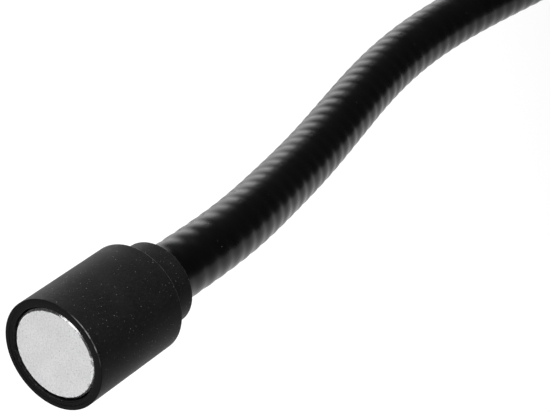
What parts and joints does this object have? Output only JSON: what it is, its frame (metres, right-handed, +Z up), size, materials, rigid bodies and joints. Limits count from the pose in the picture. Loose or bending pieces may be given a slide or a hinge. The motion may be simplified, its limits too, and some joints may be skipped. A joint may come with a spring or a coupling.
{
  "type": "magnetic pickup tool",
  "caption": "Flexible magnetic pickup tool: disc magnet in a matte black metal head, glossy ribbed gooseneck that stays where bent, and a grooved black handle with a hang hole.",
  "frame": {"origin": "centre of the magnet's working face", "axes": "+X along the head's axis, from the magnet's face into the head; +Z up from the surface the tool lies on"},
  "size_m": [0.4822, 0.05, 0.022],
  "materials": {
    "head_black": "matte black coating, worn to metal on its front edge",
    "collar_black": "matte black coating",
    "magnet": "matte silver-grey plating with a fine grain",
    "glue": "dull set adhesive",
    "bare_steel": "plain zinc-plated steel",
    "wire": "drawn steel wire",
    "sleeve_black": "glossy black vinyl",
    "grip": "soft matte black",
    "cap_black": "moulded matte black"
  },
  "bodies": {
    "head": {"head_shell": "head_black", "magnet_disc": "magnet", "magnet_glue": "glue", "backing_plate": "bare_steel", "collar_screw": "bare_steel", "neck_collar": "collar_black", "neck_1_sleeve": "sleeve_black", "neck_1_round_wire": "wire", "neck_1_wedge_wire": "wire"},
    "neck_2": {"neck_2_sleeve": "sleeve_black", "neck_2_round_wire": "wire", "neck_2_wedge_wire": "wire"},
    "neck_3": {"neck_3_sleeve": "sleeve_black", "neck_3_round_wire": "wire", "neck_3_wedge_wire": "wire"},
    "neck_4": {"neck_4_sleeve": "sleeve_black", "neck_4_round_wire": "wire", "neck_4_wedge_wire": "wire"},
    "neck_5": {"neck_5_sleeve": "sleeve_black", "neck_5_round_wire": "wire", "neck_5_wedge_wire": "wire"},
    "neck_6": {"neck_6_sleeve": "sleeve_black", "neck_6_round_wire": "wire", "neck_6_wedge_wire": "wire"},
    "neck_7": {"neck_7_sleeve": "sleeve_black", "neck_7_round_wire": "wire", "neck_7_wedge_wire": "wire"},
    "neck_8": {"neck_8_sleeve": "sleeve_black", "neck_8_round_wire": "wire", "neck_8_wedge_wire": "wire"},
    "handle": {"handle_ferrule": "collar_black", "ferrule_grub_screw": "bare_steel", "wire_end_plug": "bare_steel", "handle_core_tube": "bare_steel", "grip_sleeve": "grip", "end_cap": "cap_black", "neck_9_sleeve": "sleeve_black", "neck_9_round_wire": "wire", "neck_9_wedge_wire": "wire"}
  },
  "joints": [
    {"name": "bend_1_up_down", "type": "hinge", "parent": "head", "child": "neck_2", "pos_m": [0.04551, 0.0011, -0.00104], "axis": [-0.1357, 0.9908, 0], "range_deg": [-30, 30]},
    {"name": "bend_2_sideways", "type": "hinge", "parent": "neck_2", "child": "neck_3", "pos_m": [0.08716, 0.00988, -0.004], "axis": [0, 0, 1], "range_deg": [-30, 30]},
    {"name": "bend_3_up_down", "type": "hinge", "parent": "neck_3", "child": "neck_4", "pos_m": [0.12904, 0.0172, -0.004], "axis": [-0.059, 0.9983, 0], "range_deg": [-30, 30]},
    {"name": "bend_4_sideways", "type": "hinge", "parent": "neck_4", "child": "neck_5", "pos_m": [0.17143, 0.0142, -0.004], "axis": [0, 0, 1], "range_deg": [-30, 30]},
    {"name": "bend_5_up_down", "type": "hinge", "parent": "neck_5", "child": "neck_6", "pos_m": [0.21367, 0.00892, -0.004], "axis": [0.1002, 0.995, 0], "range_deg": [-30, 30]},
    {"name": "bend_6_sideways", "type": "hinge", "parent": "neck_6", "child": "neck_7", "pos_m": [0.25618, 0.00702, -0.004], "axis": [0, 0, 1], "range_deg": [-30, 30]},
    {"name": "bend_7_up_down", "type": "hinge", "parent": "neck_7", "child": "neck_8", "pos_m": [0.29862, 0.01007, -0.004], "axis": [-0.1097, 0.994, 0], "range_deg": [-30, 30]},
    {"name": "bend_8_sideways", "type": "hinge", "parent": "neck_8", "child": "handle", "pos_m": [0.34092, 0.01488, 0.00031], "axis": [0, 0, 1], "range_deg": [-30, 30]}
  ]
}
